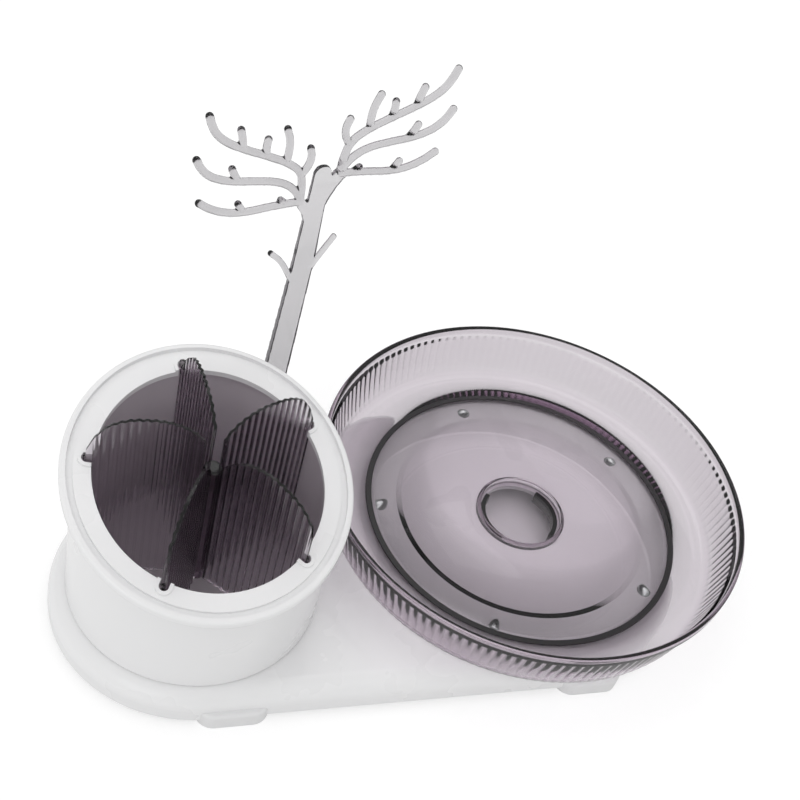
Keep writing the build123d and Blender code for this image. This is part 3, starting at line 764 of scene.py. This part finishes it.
white_light = add_node(sky, "ShaderNodeBackground", (600, -200), Color=(1.0, 1.0, 1.0, 1), Strength=1.0)
ray = add_node(sky, "ShaderNodeLightPath", (350, 500))
bent_ray = add_node(sky, "ShaderNodeMath", (600, 400), operation="MAXIMUM")
tent_light = add_node(sky, "ShaderNodeMix", (350, 0), data_type="FLOAT")
tent_light.inputs["A"].default_value = reflected_light
bent_pick = add_node(sky, "ShaderNodeMixShader", (900, 100))
camera_pick = add_node(sky, "ShaderNodeMixShader", (1150, 0))
link = sky.links.new
link(left_glow, both_glows.inputs[0])
link(right_glow, both_glows.inputs[1])
link(both_glows.outputs["Value"], soft_light.inputs[0])
link(soft_light.outputs["Value"], matt_light.inputs["Strength"])
link(direction, sky_height.inputs["Vector"])
link(sky_height.outputs["Z"], tent.inputs["Value"])
link(ray.outputs["Is Transmission Ray"], tent_light.inputs["Factor"])
link(tent.outputs["Result"], tent_light.inputs["B"])
link(tent_light.outputs["Result"], clear_light.inputs["Strength"])
link(ray.outputs["Is Glossy Ray"], bent_ray.inputs[0])
link(ray.outputs["Is Transmission Ray"], bent_ray.inputs[1])
link(bent_ray.outputs["Value"], bent_pick.inputs["Fac"])
link(matt_light.outputs["Background"], bent_pick.inputs[1])
link(clear_light.outputs["Background"], bent_pick.inputs[2])
link(ray.outputs["Is Camera Ray"], camera_pick.inputs["Fac"])
link(bent_pick.outputs["Shader"], camera_pick.inputs[1])
link(white_light.outputs["Background"], camera_pick.inputs[2])
link(camera_pick.outputs["Shader"], sky_output.inputs["Surface"])
print("world:", world.name)


# %% [markdown]
# Two large soft panels shape the whites: one overhead and behind, which makes the
# highlights on the rims, and a weaker one at the front left.

# %% Place the soft panels
def soft_panel(name, place, target, size, power):
    """A square area lamp aimed at a point."""
    lamp = bpy.data.lights.new(name, "AREA")
    lamp.shape = "SQUARE"
    lamp.size = size
    lamp.energy = power
    panel = bpy.data.objects.new(name, lamp)
    bpy.context.scene.collection.objects.link(panel)
    panel.location = place
    aim = Vector(target) - Vector(place)
    panel.rotation_euler = aim.to_track_quat("-Z", "Y").to_euler()
    return panel


middle = Vector((0, 0, 0.05))
panels = [
    soft_panel("Overhead panel", (0.1, 0.5, 1.3), middle, 0.9, 2.0),
    soft_panel("Front left panel", (-1.0, -0.8, 0.8), middle, 0.7, 1.0),
]
print("panels:", [panel.name for panel in panels])

# %% [markdown]
# The camera stands where the photographer's did. Its place and direction come from the
# circles of the tray and the cup in the photograph; the picture is also rolled, because
# the object was placed askew in it.

# %% Place the camera
camera_place = Vector((-247.8, -318.4, 487.85)) * mm
camera_azimuth = math.radians(-34.53)
camera_elevation = math.radians(43.4)
camera_roll = math.radians(17.29)
camera_lens = 55.07
back = Vector((
    math.sin(camera_azimuth) * math.cos(camera_elevation),
    -math.cos(camera_azimuth) * math.cos(camera_elevation),
    math.sin(camera_elevation),
))
camera_data = bpy.data.cameras.new("Camera")
camera_data.lens = camera_lens
camera_data.sensor_width = 36.0
camera_data.clip_start = 0.05
camera = bpy.data.objects.new("Camera", camera_data)
bpy.context.scene.collection.objects.link(camera)
level = (-back).to_track_quat("-Z", "Y").to_matrix().to_4x4()
camera.matrix_world = Matrix.Translation(camera_place) @ level @ Matrix.Rotation(camera_roll, 4, "Z")
bpy.context.scene.camera = camera
bpy.context.scene.view_settings.view_transform = "Standard"
print("camera at", [round(v, 3) for v in camera_place])
